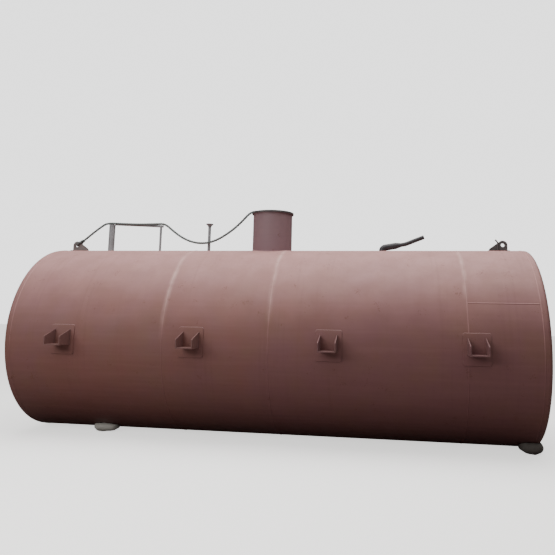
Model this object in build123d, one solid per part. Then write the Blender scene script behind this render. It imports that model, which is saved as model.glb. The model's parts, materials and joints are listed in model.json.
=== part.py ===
"""Horizontal welded steel tank for diesel fuel, lying on the ground between chocks.

Millimetres. +X runs along the tank, +Y away from the viewed side, +Z up.
The origin is on the ground, under the middle of the tank.
Everything is modelled about the tank's axis and lifted to the ground at the end.
"""
from build123d import *
import math
import os

# Tank body
shell_radius = 1250.0
wall = 8.0
tangent_half_length = 3285.0
straight_flange = 38.0
crown_radius = 5000.0
knuckle_radius = 50.0
girth_seams = (-1215.0, 112.0, 2432.0)
bead_width = 14.0
bead_height = 3.0
bead_toe = 0.6
# Angle of each course's lengthwise seam, from the middle of the front face upwards
course_seam_angles = (152.0, 206.0, 148.0, 24.5)

# Manhole
manhole_x = -126.0
neck_diameter = 560.0
neck_wall = 8.0
neck_height = 540.0
flange_diameter = 600.0
flange_thickness = 12.0
cover_thickness = 12.0
handle_bar = 16.0
handle_span = 160.0
handle_height = 52.0
handle_bend = 12.0

# Side brackets
bracket_stations = (-2520.0, -840.0, 840.0, 2520.0)
bracket_pad_width = 310.0
bracket_pad_top = 175.0
bracket_pad_bottom = -185.0
bracket_pad_thickness = 10.0
bracket_pad_corner = 25.0
bracket_width = 210.0
bracket_reach = 240.0
bracket_plate = 12.0
shelf_underside = -70.0
gusset_root_height = 190.0
gusset_front_height = 98.0
gusset_corner = 14.0

# Fill pipe, with the rail that runs from it to a thin post
fill_pipe_x = -2595.0
fill_pipe_diameter = 88.9
fill_pipe_wall = 4.0
fill_pipe_height = 400.0
fill_pipe_depth = 60.0
cap_plate = 6.0
rail_diameter = 33.7
rail_wall = 3.2
rail_offset = 20.0
rail_root_height = 412.0
rail_post_x = -1830.0
rail_post_height = 375.5
rail_overhang = 35.0

# Dip pipe
dip_pipe_x = -1070.0
dip_pipe_diameter = 42.4
dip_pipe_wall = 3.2
dip_pipe_height = 396.0
dip_pipe_depth = 60.0
dip_cap_diameter = 105.0
dip_cap_collar = 56.0
dip_cap_rim = 10.0
dip_cap_height = 40.0
dip_cap_top = 8.0

# Vent
vent_x = 1440.0
vent_diameter = 88.9
vent_wall = 4.0
vent_lift = 46.0
vent_slope = 9.5
vent_bend = 50.0
vent_run = 190.0
vent_reducer = 75.0
vent_pipe_diameter = 57.0
vent_pipe_wall = 3.5
vent_pipe_slope = 21.5
vent_pipe_straight = 60.0
vent_pipe_length = 330.0
vent_pipe_bend = 260.0

# Lifting lugs
lug_set_back = {"left": 82.0, "right": 167.0}
lug_length = 240.0
lug_thickness = 20.0
lug_eye_height = 85.0
lug_eye_radius = 62.0
lug_hole_radius = 24.0
lug_foot = 24.0
lug_pad_length = 280.0
lug_pad_width = 130.0
lug_pad_thickness = 10.0
lug_pad_corner = 20.0
hook_bar = 20.0
hook_foot_back = 66.0
hook_knee_height = 118.0
hook_tip_back = 32.0
hook_tip_rise = 40.0
hook_bend = 30.0

# Rope, tied from the left lug over the fill pipe and the rail to the cover's handle
rope_diameter = 30.0
seat_gap = 0.3
knot_turns = 3
knot_bulge = 8.0
# X, Y, and height above the tank's axis
rope_route = (
    (-3040.0, 0.0, 1410.0),
    (-2725.0, 0.0, 1644.0),
    (-2640.0, -8.0, 1672.0),
    (-2462.0, -20.0, 1661.0),
    (-2190.0, -18.0, 1650.0),
    (-1990.0, -16.0, 1652.0),
    (-1850.0, 12.0, 1659.0),
    (-1790.0, 19.0, 1658.5),
    (-1730.0, 20.0, 1633.0),
    (-1650.0, 15.0, 1566.0),
    (-1520.0, 2.0, 1472.0),
    (-1380.0, -12.0, 1402.0),
    (-1230.0, -32.0, 1364.0),
    (-1070.0, -45.0, 1366.0),
    (-925.0, -36.0, 1418.0),
    (-790.0, -22.0, 1505.0),
    (-680.0, -12.0, 1592.0),
    (-575.0, -5.0, 1694.0),
    (-482.0, 0.0, 1802.0),
    (-395.0, 0.0, 1836.0),
    (-300.0, 0.0, 1827.0),
)

# Chocks: set back of the middle from the tank's end, then length, outer and inner face, height
left_chock_set_back = 1035.0
left_chock = {"length": 310.0, "outer": 590.0, "inner": 300.0, "height": 112.0}
right_chock_set_back = 20.0
right_chock = {"length": 350.0, "outer": 634.0, "inner": 330.0, "height": 176.0}
chock_draft = 10.0
chock_corner = 70.0
chock_edge = 24.0

# Worked out from the sizes above
axis_height = shell_radius + bead_height
lug_outer_edges = {
    "left": lug_set_back["left"] - tangent_half_length,
    "right": tangent_half_length - lug_set_back["right"],
}
chock_places = {
    "left": left_chock_set_back - tangent_half_length,
    "right": tangent_half_length - right_chock_set_back,
}
manhole_rim = shell_radius + neck_height
cover_top = manhole_rim + cover_thickness
rope_radius = rope_diameter / 2
end_seam = tangent_half_length - straight_flange
end_depth = crown_radius - math.sqrt(
    (crown_radius - knuckle_radius) ** 2 - (shell_radius - knuckle_radius) ** 2
)


def along_x(radius, start, end):
    """Round bar parallel to the tank's axis."""
    bar = Cylinder(radius, end - start, align=(Align.CENTER, Align.CENTER, Align.MIN))
    return Pos(start, 0, 0) * Rot(0, 90, 0) * bar


def upright(radius, x, bottom, top, y=0.0):
    """Round bar standing on end."""
    bar = Cylinder(radius, top - bottom, align=(Align.CENTER, Align.CENTER, Align.MIN))
    return Pos(x, y, bottom) * bar


def bar_between(radius, start, end):
    """Round bar from one point to another."""
    direction = Vector(*end) - Vector(*start)
    place = Plane(origin=start, z_dir=direction)
    return extrude(place * Circle(radius), amount=direction.length)


def arc(centre, radius, first, last):
    """Arc about a centre between two angles in degrees."""
    points = []
    for angle in (first, (first + last) / 2, last):
        turn = math.radians(angle)
        points.append((centre[0] + radius * math.cos(turn), centre[1] + radius * math.sin(turn)))
    return ThreePointArc(*points)


def tank_body():
    """The tank's outer form as one mass, used to cut what sits on it."""
    body = along_x(shell_radius, -tangent_half_length, tangent_half_length)
    return body + dished_form(0.0, 1) + dished_form(0.0, -1)


def end_profile(inset):
    """Dished outline from the tank's axis to the straight flange, moved in by the inset."""
    knuckle_centre = (tangent_half_length, shell_radius - knuckle_radius)
    crown_centre = (tangent_half_length + end_depth - crown_radius, 0.0)
    meet = math.degrees(math.atan2(
        knuckle_centre[1] - crown_centre[1], knuckle_centre[0] - crown_centre[0]
    ))
    crown = arc(crown_centre, crown_radius - inset, 0.0, meet)
    knuckle = arc(knuckle_centre, knuckle_radius - inset, meet, 90.0)
    return crown, knuckle


def dished_form(inset, side):
    """Solid inside the dished outline, out from the end seam."""
    crown, knuckle = end_profile(inset)
    radius = shell_radius - inset
    outline = crown + knuckle
    outline += Polyline(knuckle @ 1, (end_seam, radius), (end_seam, 0.0), crown @ 0)
    form = revolve(Plane.XZ * make_face(outline), axis=Axis.X)
    return form if side > 0 else mirror(form, about=Plane.YZ)


def dished_end(side):
    """Shallow dished end with its knuckle and straight flange."""
    return dished_form(0.0, side) - dished_form(wall, side)


def shell_hole_cutters():
    """What passes through the shell's crown."""
    inside = shell_radius * 0.8
    above = shell_radius + wall
    return [
        upright(neck_diameter / 2 - neck_wall, manhole_x, inside, above),
        upright(fill_pipe_diameter / 2, fill_pipe_x, inside, above),
        upright(dip_pipe_diameter / 2, dip_pipe_x, inside, above),
        upright(vent_diameter / 2 - vent_wall, vent_x, inside, above),
    ]


def shell_course(start, end):
    """One rolled course of the shell, with the crown openings in it."""
    course = along_x(shell_radius, start, end) - along_x(shell_radius - wall, start, end)
    for cutter in shell_hole_cutters():
        course -= cutter
    return course


def weld_section(sink):
    """Bead outline: flat below, low sides, round on top, sunk by a little where it will be cut to its seat."""
    half = bead_width / 2
    crown = ThreePointArc((half, bead_toe), (0, bead_height), (-half, bead_toe))
    foot = Polyline((-half, bead_toe), (-half, -sink), (half, -sink), (half, bead_toe))
    return make_face(crown + foot)


def ring_weld(x):
    """Bead all round the tank over a girth seam."""
    bead = revolve(Plane.XZ * Pos(x, shell_radius) * weld_section(0.0), axis=Axis.X)
    if abs(x - manhole_x) < neck_diameter / 2 + bead_width:
        bead -= upright(neck_diameter / 2, manhole_x, 0.0, manhole_rim)
    for station in bracket_stations:
        if abs(x - station) < bracket_pad_width / 2 + bead_width:
            bead -= bracket_pad(station)
            bead -= mirror(bracket_pad(station), about=Plane.XZ)
    return bead


def ring_welds():
    """Every bead round the tank: three girth seams and the two ends."""
    return [ring_weld(x) for x in (-end_seam, *girth_seams, end_seam)]


def course_seam_welds():
    """A bead along each course, between the beads round the tank."""
    beads = []
    seams = (-end_seam, *girth_seams, end_seam)
    for start, end, angle in zip(seams, seams[1:], course_seam_angles):
        length = end - start - bead_width
        section = Plane.YZ * Pos(0, shell_radius) * weld_section(bead_height)
        bead = Pos(start + bead_width / 2, 0, 0) * extrude(section, amount=length)
        bead -= along_x(shell_radius, start, end)
        beads.append(Rot(90 - angle, 0, 0) * bead)
    return beads


def manhole_neck():
    """Neck of the manhole, cut to sit on the shell."""
    neck = upright(neck_diameter / 2, manhole_x, 0.0, manhole_rim)
    neck -= upright(neck_diameter / 2 - neck_wall, manhole_x, 0.0, manhole_rim)
    return neck - along_x(shell_radius, manhole_x - neck_diameter, manhole_x + neck_diameter)


def manhole_flange():
    """Flat ring round the top of the neck."""
    ring = upright(flange_diameter / 2, manhole_x, manhole_rim - flange_thickness, manhole_rim)
    return ring - upright(neck_diameter / 2, manhole_x, 0.0, manhole_rim)


def manhole_cover():
    """Round cover plate lying on the flange and the neck."""
    return upright(flange_diameter / 2, manhole_x, manhole_rim, cover_top)


def cover_handle():
    """Bent bar handle standing on the cover."""
    left = manhole_x - handle_span / 2
    right = manhole_x + handle_span / 2
    top = cover_top + handle_height - handle_bar / 2
    line = FilletPolyline(
        (left, 0, cover_top), (left, 0, top), (right, 0, top), (right, 0, cover_top),
        radius=handle_bend,
    )
    return sweep(Plane(origin=line @ 0, z_dir=line % 0) * Circle(handle_bar / 2), path=line)


def bracket_pad(x):
    """Doubler plate of a bracket, rolled to the shell, on the front."""
    height = bracket_pad_top - bracket_pad_bottom
    middle = (bracket_pad_top + bracket_pad_bottom) / 2
    outer = shell_radius + bracket_pad_thickness
    pad = along_x(outer, x - bracket_pad_width, x + bracket_pad_width)
    pad -= along_x(shell_radius, x - bracket_pad_width, x + bracket_pad_width)
    outline = RectangleRounded(bracket_pad_width, height, bracket_pad_corner)
    return pad & extrude(Plane.XZ * Pos(x, middle) * outline, amount=outer)


def seat_on_pad(shape, x):
    """Trim a bracket plate to the face of its doubler."""
    outer = shell_radius + bracket_pad_thickness
    return shape - along_x(outer, x - bracket_pad_width, x + bracket_pad_width)


def bracket_shelf(x):
    """Flat shelf plate of a bracket, on the front."""
    front = shell_radius + bracket_reach
    back = shell_radius * 0.9
    plate = Pos(x, -(front + back) / 2, shelf_underside + bracket_plate / 2) * Box(
        bracket_width, front - back, bracket_plate
    )
    return seat_on_pad(plate, x)


def bracket_gussets(x):
    """The two upright cheeks of a bracket, on the front."""
    front = shell_radius + bracket_reach
    root = shell_radius + bracket_pad_thickness
    back = shell_radius * 0.9
    foot = shelf_underside + bracket_plate
    root_top = foot + gusset_root_height - bracket_plate
    front_top = foot + gusset_front_height
    outline = Polyline(
        (-back, foot), (-front, foot), (-front, front_top), (-root, root_top), (-back, root_top),
        close=True,
    )
    face = make_face(outline)
    face = fillet(face.vertices().filter_by(lambda v: v.X < -front + 1 and v.Y > foot + 1), gusset_corner)
    cheeks = []
    for side in (-1, 1):
        left = x + side * (bracket_width - bracket_plate) / 2 - bracket_plate / 2
        cheek = Pos(left, 0, 0) * extrude(Plane.YZ * face, amount=bracket_plate)
        cheeks.append(seat_on_pad(cheek, x))
    return cheeks


def to_back(shapes):
    """The same pieces on the far side of the tank."""
    return [mirror(shape, about=Plane.XZ) for shape in shapes]


def fill_pipe():
    """Upright pipe through the shell, closed by a plate on top."""
    top = shell_radius + fill_pipe_height
    bottom = shell_radius - wall - fill_pipe_depth
    pipe = upright(fill_pipe_diameter / 2, fill_pipe_x, bottom, top)
    return pipe - upright(fill_pipe_diameter / 2 - fill_pipe_wall, fill_pipe_x, bottom, top - cap_plate)


def rail_line():
    """Ends of the rail's middle line: inside the fill pipe, and past the thin post."""
    root = (fill_pipe_x, rail_offset, shell_radius + rail_root_height)
    post = (rail_post_x, rail_offset, shell_radius + rail_post_height)
    share = (rail_post_x + rail_overhang - fill_pipe_x) / (rail_post_x - fill_pipe_x)
    tip = (rail_post_x + rail_overhang, rail_offset, root[2] + (post[2] - root[2]) * share)
    return root, tip


def rail_pipe():
    """Thin pipe from the side of the fill pipe to the thin post and a little past it."""
    root, tip = rail_line()
    pipe = bar_between(rail_diameter / 2, root, tip)
    pipe -= bar_between(rail_diameter / 2 - rail_wall, root, tip)
    return pipe - upright(fill_pipe_diameter / 2, fill_pipe_x, shell_radius, root[2] + rail_diameter)


def rail_post():
    """Thin post from the shell to the underside of the rail."""
    root, tip = rail_line()
    top = shell_radius + rail_post_height
    post = upright(rail_diameter / 2, rail_post_x, shell_radius * 0.9, top, rail_offset)
    post -= upright(rail_diameter / 2 - rail_wall, rail_post_x, shell_radius * 0.9, top, rail_offset)
    post -= along_x(shell_radius, rail_post_x - rail_diameter, rail_post_x + rail_diameter)
    return post - bar_between(rail_diameter / 2, root, tip)


def dip_pipe():
    """Open pipe for the dip rod, through the shell."""
    top = shell_radius + dip_pipe_height
    bottom = shell_radius - wall - dip_pipe_depth
    pipe = upright(dip_pipe_diameter / 2, dip_pipe_x, bottom, top)
    return pipe - upright(dip_pipe_diameter / 2 - dip_pipe_wall, dip_pipe_x, bottom, top)


def dip_pipe_cap():
    """Flared cap over the top of the dip pipe."""
    seat = shell_radius + dip_pipe_height
    foot = seat + dip_cap_top - dip_cap_height
    rim = seat + dip_cap_top - dip_cap_rim
    outline = Polyline(
        (0, seat), (dip_pipe_diameter / 2, seat), (dip_pipe_diameter / 2, foot),
        (dip_cap_collar / 2, foot), (dip_cap_collar / 2, foot + dip_cap_rim),
        (dip_cap_diameter / 2, rim), (dip_cap_diameter / 2, seat + dip_cap_top), (0, seat + dip_cap_top),
        close=True,
    )
    cap = revolve(Plane.XZ * make_face(outline), axis=Axis.Z)
    return Pos(dip_pipe_x, 0, 0) * cap


def sloped_point(start, slope, distance):
    """Point along a rising line in the tank's middle plane."""
    turn = math.radians(slope)
    return (start[0] + distance * math.cos(turn), 0.0, start[2] + distance * math.sin(turn))


def vent_corner():
    """Where the vent's stub meets its sloping run."""
    return (vent_x, 0.0, shell_radius + vent_lift)


def vent_outlet():
    """Small end of the vent's reducer."""
    return sloped_point(vent_corner(), vent_slope, vent_run + vent_reducer)


def vent_form(radius, small_radius, bottom):
    """Stub, tight bend, sloping run and reducer at one radius."""
    corner = vent_corner()
    run_end = sloped_point(corner, vent_slope, vent_run)
    line = FilletPolyline((vent_x, 0, bottom), corner, run_end, radius=vent_bend)
    form = sweep(Plane(origin=line @ 0, z_dir=line % 0) * Circle(radius), path=line)
    place = Plane(origin=run_end, z_dir=Vector(*run_end) - Vector(*corner))
    cone = Cone(radius, small_radius, vent_reducer, align=(Align.CENTER, Align.CENTER, Align.MIN))
    return form + place * cone


def vent_elbow():
    """Vent stub, its bend and the reducer, all one hollow fitting."""
    bottom = shell_radius * 0.95
    bore = vent_diameter / 2 - vent_wall
    small = vent_pipe_diameter / 2
    elbow = vent_form(vent_diameter / 2, small, bottom) - vent_form(bore, small - vent_pipe_wall, bottom)
    return elbow - along_x(shell_radius, vent_x - vent_diameter, vent_x + vent_run)


def vent_pipe():
    """Thin bent pipe from the reducer to the open end of the vent."""
    start = vent_outlet()
    bend = sloped_point(start, vent_slope, vent_pipe_straight)
    tip = sloped_point(bend, vent_pipe_slope, vent_pipe_length - vent_pipe_straight)
    line = FilletPolyline(start, bend, tip, radius=vent_pipe_bend)
    place = Plane(origin=line @ 0, z_dir=line % 0)
    pipe = sweep(place * Circle(vent_pipe_diameter / 2), path=line)
    return pipe - sweep(place * Circle(vent_pipe_diameter / 2 - vent_pipe_wall), path=line)


def lug_eye(side):
    """Centre of a lug's hole."""
    outward = 1 if side == "right" else -1
    return (lug_outer_edges[side] - outward * lug_eye_radius, shell_radius + lug_eye_height)


def lug_middle(side):
    """Middle of a lug along the tank."""
    outward = 1 if side == "right" else -1
    return lug_outer_edges[side] - outward * lug_length / 2


def lug_slope_start():
    """Angle about a lug's eye, in degrees, where its round edge runs into its long slope."""
    down = lug_eye_height - lug_pad_thickness - lug_foot
    along = lug_length - lug_eye_radius
    towards_foot = 180 + math.degrees(math.atan2(down, along))
    return towards_foot - math.degrees(math.acos(lug_eye_radius / math.hypot(down, along)))


def lifting_lug(side):
    """Ear with a round eye over its outer edge and a long slope towards the tank's middle."""
    foot = (-lug_length, shell_radius + lug_pad_thickness + lug_foot)
    eye = (-lug_eye_radius, shell_radius + lug_eye_height)
    crown = arc(eye, lug_eye_radius, lug_slope_start(), 0.0)
    base = shell_radius * 0.95
    sides = Polyline(crown @ 1, (0, base), (-lug_length, base), foot, crown @ 0)
    plate = extrude(Plane.XZ * make_face(crown + sides), amount=lug_thickness / 2, both=True)
    hole = Cylinder(lug_hole_radius, 2 * lug_thickness)
    plate -= Pos(eye[0], 0, eye[1]) * Rot(90, 0, 0) * hole
    plate -= along_x(shell_radius + lug_pad_thickness, -2 * lug_length, lug_length)
    if side == "left":
        plate = mirror(plate, about=Plane.YZ)
    return Pos(lug_outer_edges[side], 0, 0) * plate


def lifting_lug_pad(side):
    """Doubler plate under a lifting lug, rolled to the shell."""
    middle = lug_middle(side)
    outer = shell_radius + lug_pad_thickness
    pad = along_x(outer, middle - lug_pad_length, middle + lug_pad_length)
    pad -= along_x(shell_radius, middle - lug_pad_length, middle + lug_pad_length)
    outline = Pos(middle, 0) * RectangleRounded(lug_pad_length, lug_pad_width, lug_pad_corner)
    return pad & extrude(outline, amount=outer)


def rope():
    """The rope's free length: straight runs joined by arcs as large as the runs allow."""
    points = [Vector(*point) for point in rope_route]
    radii = []
    for before, corner, after in zip(points, points[1:], points[2:]):
        turn = math.radians((corner - before).get_angle(after - corner))
        shorter = min((corner - before).length, (after - corner).length)
        radii.append(0.45 * shorter / math.tan(turn / 2))
    line = FilletPolyline(*points, radius=radii)
    tube = sweep(Plane(origin=line @ 0, z_dir=line % 0) * Circle(rope_radius), path=line)
    expected = math.pi * rope_radius ** 2 * line.length
    print("rope radii", [round(radius) for radius in radii])
    print("rope length", round(line.length), "volume over section times length", tube.volume / expected)
    return tube


def knot_body(end, onward, length):
    """Turns of rope wrapped round its own end, back from the point where it runs free."""
    pitch = length / knot_turns
    outline = Polyline((length, rope_radius), (length, 0), (0, 0), (0, rope_radius))
    for turn in range(knot_turns):
        near = pitch * turn
        top = rope_radius + knot_bulge
        outline += ThreePointArc((near, rope_radius), (near + pitch / 2, top), (near + pitch, rope_radius))
    back = Vector(*end) - Vector(*onward)
    place = Plane(origin=end, x_dir=back, z_dir=back.cross(Vector(0, 1, 0)))
    return place * revolve(make_face(outline), axis=Axis.X)


def lug_ring(side, angle):
    """Loop of rope through a lug's eye and round its edge, and the loop's far point."""
    eye = lug_eye(side)
    turn = math.radians(angle)
    slope_start = lug_slope_start() if side == "right" else 180 - lug_slope_start()
    lean = math.cos(math.radians(slope_start - angle))
    edge = (lug_eye_radius + rope_radius) / lean - rope_radius
    strip = edge - lug_hole_radius
    ring_radius = math.hypot(strip / 2, lug_thickness / 2) + seat_gap + rope_radius
    reach = lug_hole_radius + strip / 2
    centre = sloped_point((eye[0], 0.0, eye[1]), angle, reach)
    across = Vector(-math.sin(turn), 0, math.cos(turn))
    ring = Plane(origin=centre, z_dir=across) * Torus(ring_radius, rope_radius)
    return ring, sloped_point(centre, angle, ring_radius)


def lug_knot():
    """Knot that ties the rope to the left lug."""
    end, onward = rope_route[:2]
    angle = math.degrees(math.atan2(onward[2] - end[2], onward[0] - end[0]))
    ring, far = lug_ring("left", angle)
    return ring + knot_body(end, onward, math.dist(end, far))


def handle_knot():
    """Knot that ties the rope to the foot of the cover's handle."""
    onward, end = rope_route[-2:]
    ring_radius = handle_bar / 2 + seat_gap + rope_radius
    leg = manhole_x - handle_span / 2
    level = cover_top + rope_radius + seat_gap
    ring = Pos(leg, 0, level) * Torus(ring_radius, rope_radius)
    knot = ring + knot_body(end, onward, leg - ring_radius - end[0])
    return knot - upright(flange_diameter / 2, manhole_x, manhole_rim, cover_top + seat_gap)


def right_lug_hook():
    """Bent bar welded to the face of the right lug, its tip standing above the slope."""
    eye = lug_eye("right")
    front = -(lug_thickness / 2 + hook_bar / 2 + seat_gap)
    foot = eye[0] - hook_foot_back
    knee = shell_radius + hook_knee_height
    line = FilletPolyline(
        (foot, front, shell_radius), (foot, front, knee),
        (foot - hook_tip_back, front, knee + hook_tip_rise), radius=hook_bend,
    )
    bar = sweep(Plane(origin=line @ 0, z_dir=line % 0) * Circle(hook_bar / 2), path=line)
    return bar - along_x(shell_radius + lug_pad_thickness, foot - lug_length, foot + lug_length)


def chock(x, size, welds):
    """Stone wedged under the shell: rounded block, its seat cut to the tank."""
    depth = size["outer"] - size["inner"]
    middle = -(size["outer"] + size["inner"]) / 2
    foot = Pos(x, middle) * RectangleRounded(size["length"], depth, chock_corner)
    block = extrude(foot, amount=size["height"], taper=chock_draft)
    block = fillet(block.faces().sort_by(Axis.Z)[-1].edges(), chock_edge)
    block = Pos(0, 0, -axis_height) * block - tank_body()
    for weld in welds:
        block -= weld
    return block


def save(name, shapes):
    """Lift the pieces to the ground and write them as one node."""
    shapes = shapes if isinstance(shapes, list) else [shapes]
    solids = []
    for shape in shapes:
        solids.extend((Pos(0, 0, axis_height) * shape).solids())
    export_step(Compound(children=solids), "parts/" + name + ".step")


def main():
    """Build every node."""
    os.makedirs("parts", exist_ok=True)
    welds = ring_welds()
    seams = (-end_seam, *girth_seams, end_seam)
    for number, (start, end) in enumerate(zip(seams, seams[1:]), 1):
        save("shell_course_" + str(number), shell_course(start, end))
    save("left_end", dished_end(-1))
    save("right_end", dished_end(1))
    save("ring_welds", welds)
    save("course_seam_welds", course_seam_welds())
    save("manhole_neck", manhole_neck())
    save("manhole_flange", manhole_flange())
    save("manhole_cover", manhole_cover())
    save("cover_handle", cover_handle())
    save("fill_pipe", fill_pipe())
    save("rail_pipe", rail_pipe())
    save("rail_post", rail_post())
    save("dip_pipe", dip_pipe())
    save("dip_pipe_cap", dip_pipe_cap())
    save("vent_elbow", vent_elbow())
    save("vent_pipe", vent_pipe())
    save("left_lifting_lug", lifting_lug("left"))
    save("right_lifting_lug", lifting_lug("right"))
    save("lifting_lug_pads", [lifting_lug_pad("left"), lifting_lug_pad("right")])
    save("rope", rope())
    save("rope_knots", [lug_knot(), handle_knot()])
    save("right_lug_hook", right_lug_hook())
    for side, size in (("left", left_chock), ("right", right_chock)):
        stone = chock(chock_places[side], size, welds)
        save(side + "_chocks", [stone, *to_back([stone])])
    pads = [bracket_pad(x) for x in bracket_stations]
    save("front_bracket_pads", pads)
    save("back_bracket_pads", to_back(pads))
    for number, x in enumerate(bracket_stations, 1):
        shelf = [bracket_shelf(x)]
        cheeks = bracket_gussets(x)
        save("front_bracket_" + str(number) + "_shelf", shelf)
        save("front_bracket_" + str(number) + "_gussets", cheeks)
        save("back_bracket_" + str(number) + "_shelf", to_back(shelf))
        save("back_bracket_" + str(number) + "_gussets", to_back(cheeks))


main()
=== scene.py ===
"""Looks of a horizontal welded diesel tank: red oxide paint, weld scales, laid rope, stones.

Metres throughout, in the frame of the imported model: X along the tank, Y away, Z up,
with the origin on the ground under the middle of the tank.
"""
import json
import logging
import math
from dataclasses import dataclass
from enum import Enum
from typing import Optional, Sequence, Union

import bmesh
import bpy
import numpy as np
from mathutils import Matrix, Vector, noise


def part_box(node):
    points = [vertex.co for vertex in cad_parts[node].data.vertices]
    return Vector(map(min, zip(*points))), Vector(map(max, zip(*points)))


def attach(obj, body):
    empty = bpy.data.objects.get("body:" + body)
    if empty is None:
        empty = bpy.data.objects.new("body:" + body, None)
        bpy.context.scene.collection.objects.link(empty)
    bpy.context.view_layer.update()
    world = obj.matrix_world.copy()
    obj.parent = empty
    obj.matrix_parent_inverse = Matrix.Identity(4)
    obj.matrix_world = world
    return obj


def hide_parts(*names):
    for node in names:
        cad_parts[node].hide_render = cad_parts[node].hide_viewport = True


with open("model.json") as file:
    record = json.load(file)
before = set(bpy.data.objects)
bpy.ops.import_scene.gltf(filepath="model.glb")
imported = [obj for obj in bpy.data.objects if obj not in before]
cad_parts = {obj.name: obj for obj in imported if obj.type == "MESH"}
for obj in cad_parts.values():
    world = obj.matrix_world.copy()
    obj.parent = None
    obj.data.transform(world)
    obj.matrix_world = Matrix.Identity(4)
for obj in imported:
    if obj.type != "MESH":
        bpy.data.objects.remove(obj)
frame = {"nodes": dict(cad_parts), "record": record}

LOG = logging.getLogger("diesel_tank")
BODY = "root"
SHELL_RADIUS = 1.250
AXIS_HEIGHT = 1.253
TANGENT_HALF = 3.285
END_DEPTH = 0.1977
CROWN_RADIUS = 5.0
CROWN_CENTRE = TANGENT_HALF + END_DEPTH - CROWN_RADIUS
NECK_X = -0.126
NECK_RADIUS = 0.280
FULL_TURN = 2 * math.pi
SIDES = (-1, 1)
DEPTH = Vector((0.0, 1.0, 0.0))

# Layers of detail in a noise, from soft to craggy, and the middle of its values.
SOFT, PLAIN, BROKEN, RAGGED, FRECKLED, CRAGGY = 2.0, 3.0, 4.0, 5.0, 6.0, 8.0
NOISE_MIDDLE = 0.5

Tree = bpy.types.NodeTree
Socket = bpy.types.NodeSocket
Finish = bpy.types.Material
Piece = bpy.types.Object
Value = Union[float, tuple, Socket]
Colour = tuple[float, float, float]
Point = tuple[float, float, float]
Pair = tuple[float, float]
Swept = tuple[list, list, list]


class Slot(Enum):
    """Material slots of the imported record."""

    PLATE = "red_oxide_plate"
    WELD = "weld_bead"
    FITTING = "dark_fittings"
    GREY_PIPE = "grey_pipework"
    BLACK_PIPE = "black_pipework"
    ROPE = "rope"
    PALE_STONE = "pale_stone"
    DARK_STONE = "dark_stone"


class Mix(Enum):
    """What a Mix node mixes: its data type and the end of its sockets' identifiers."""

    COLOUR = ("RGBA", "Color")
    VECTOR = ("VECTOR", "Vector")


def by_identifier(sockets: Sequence[Socket]) -> dict[str, Socket]:
    """Sockets by identifier, for nodes where several share a name."""
    return {socket.identifier: socket for socket in sockets}


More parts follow.
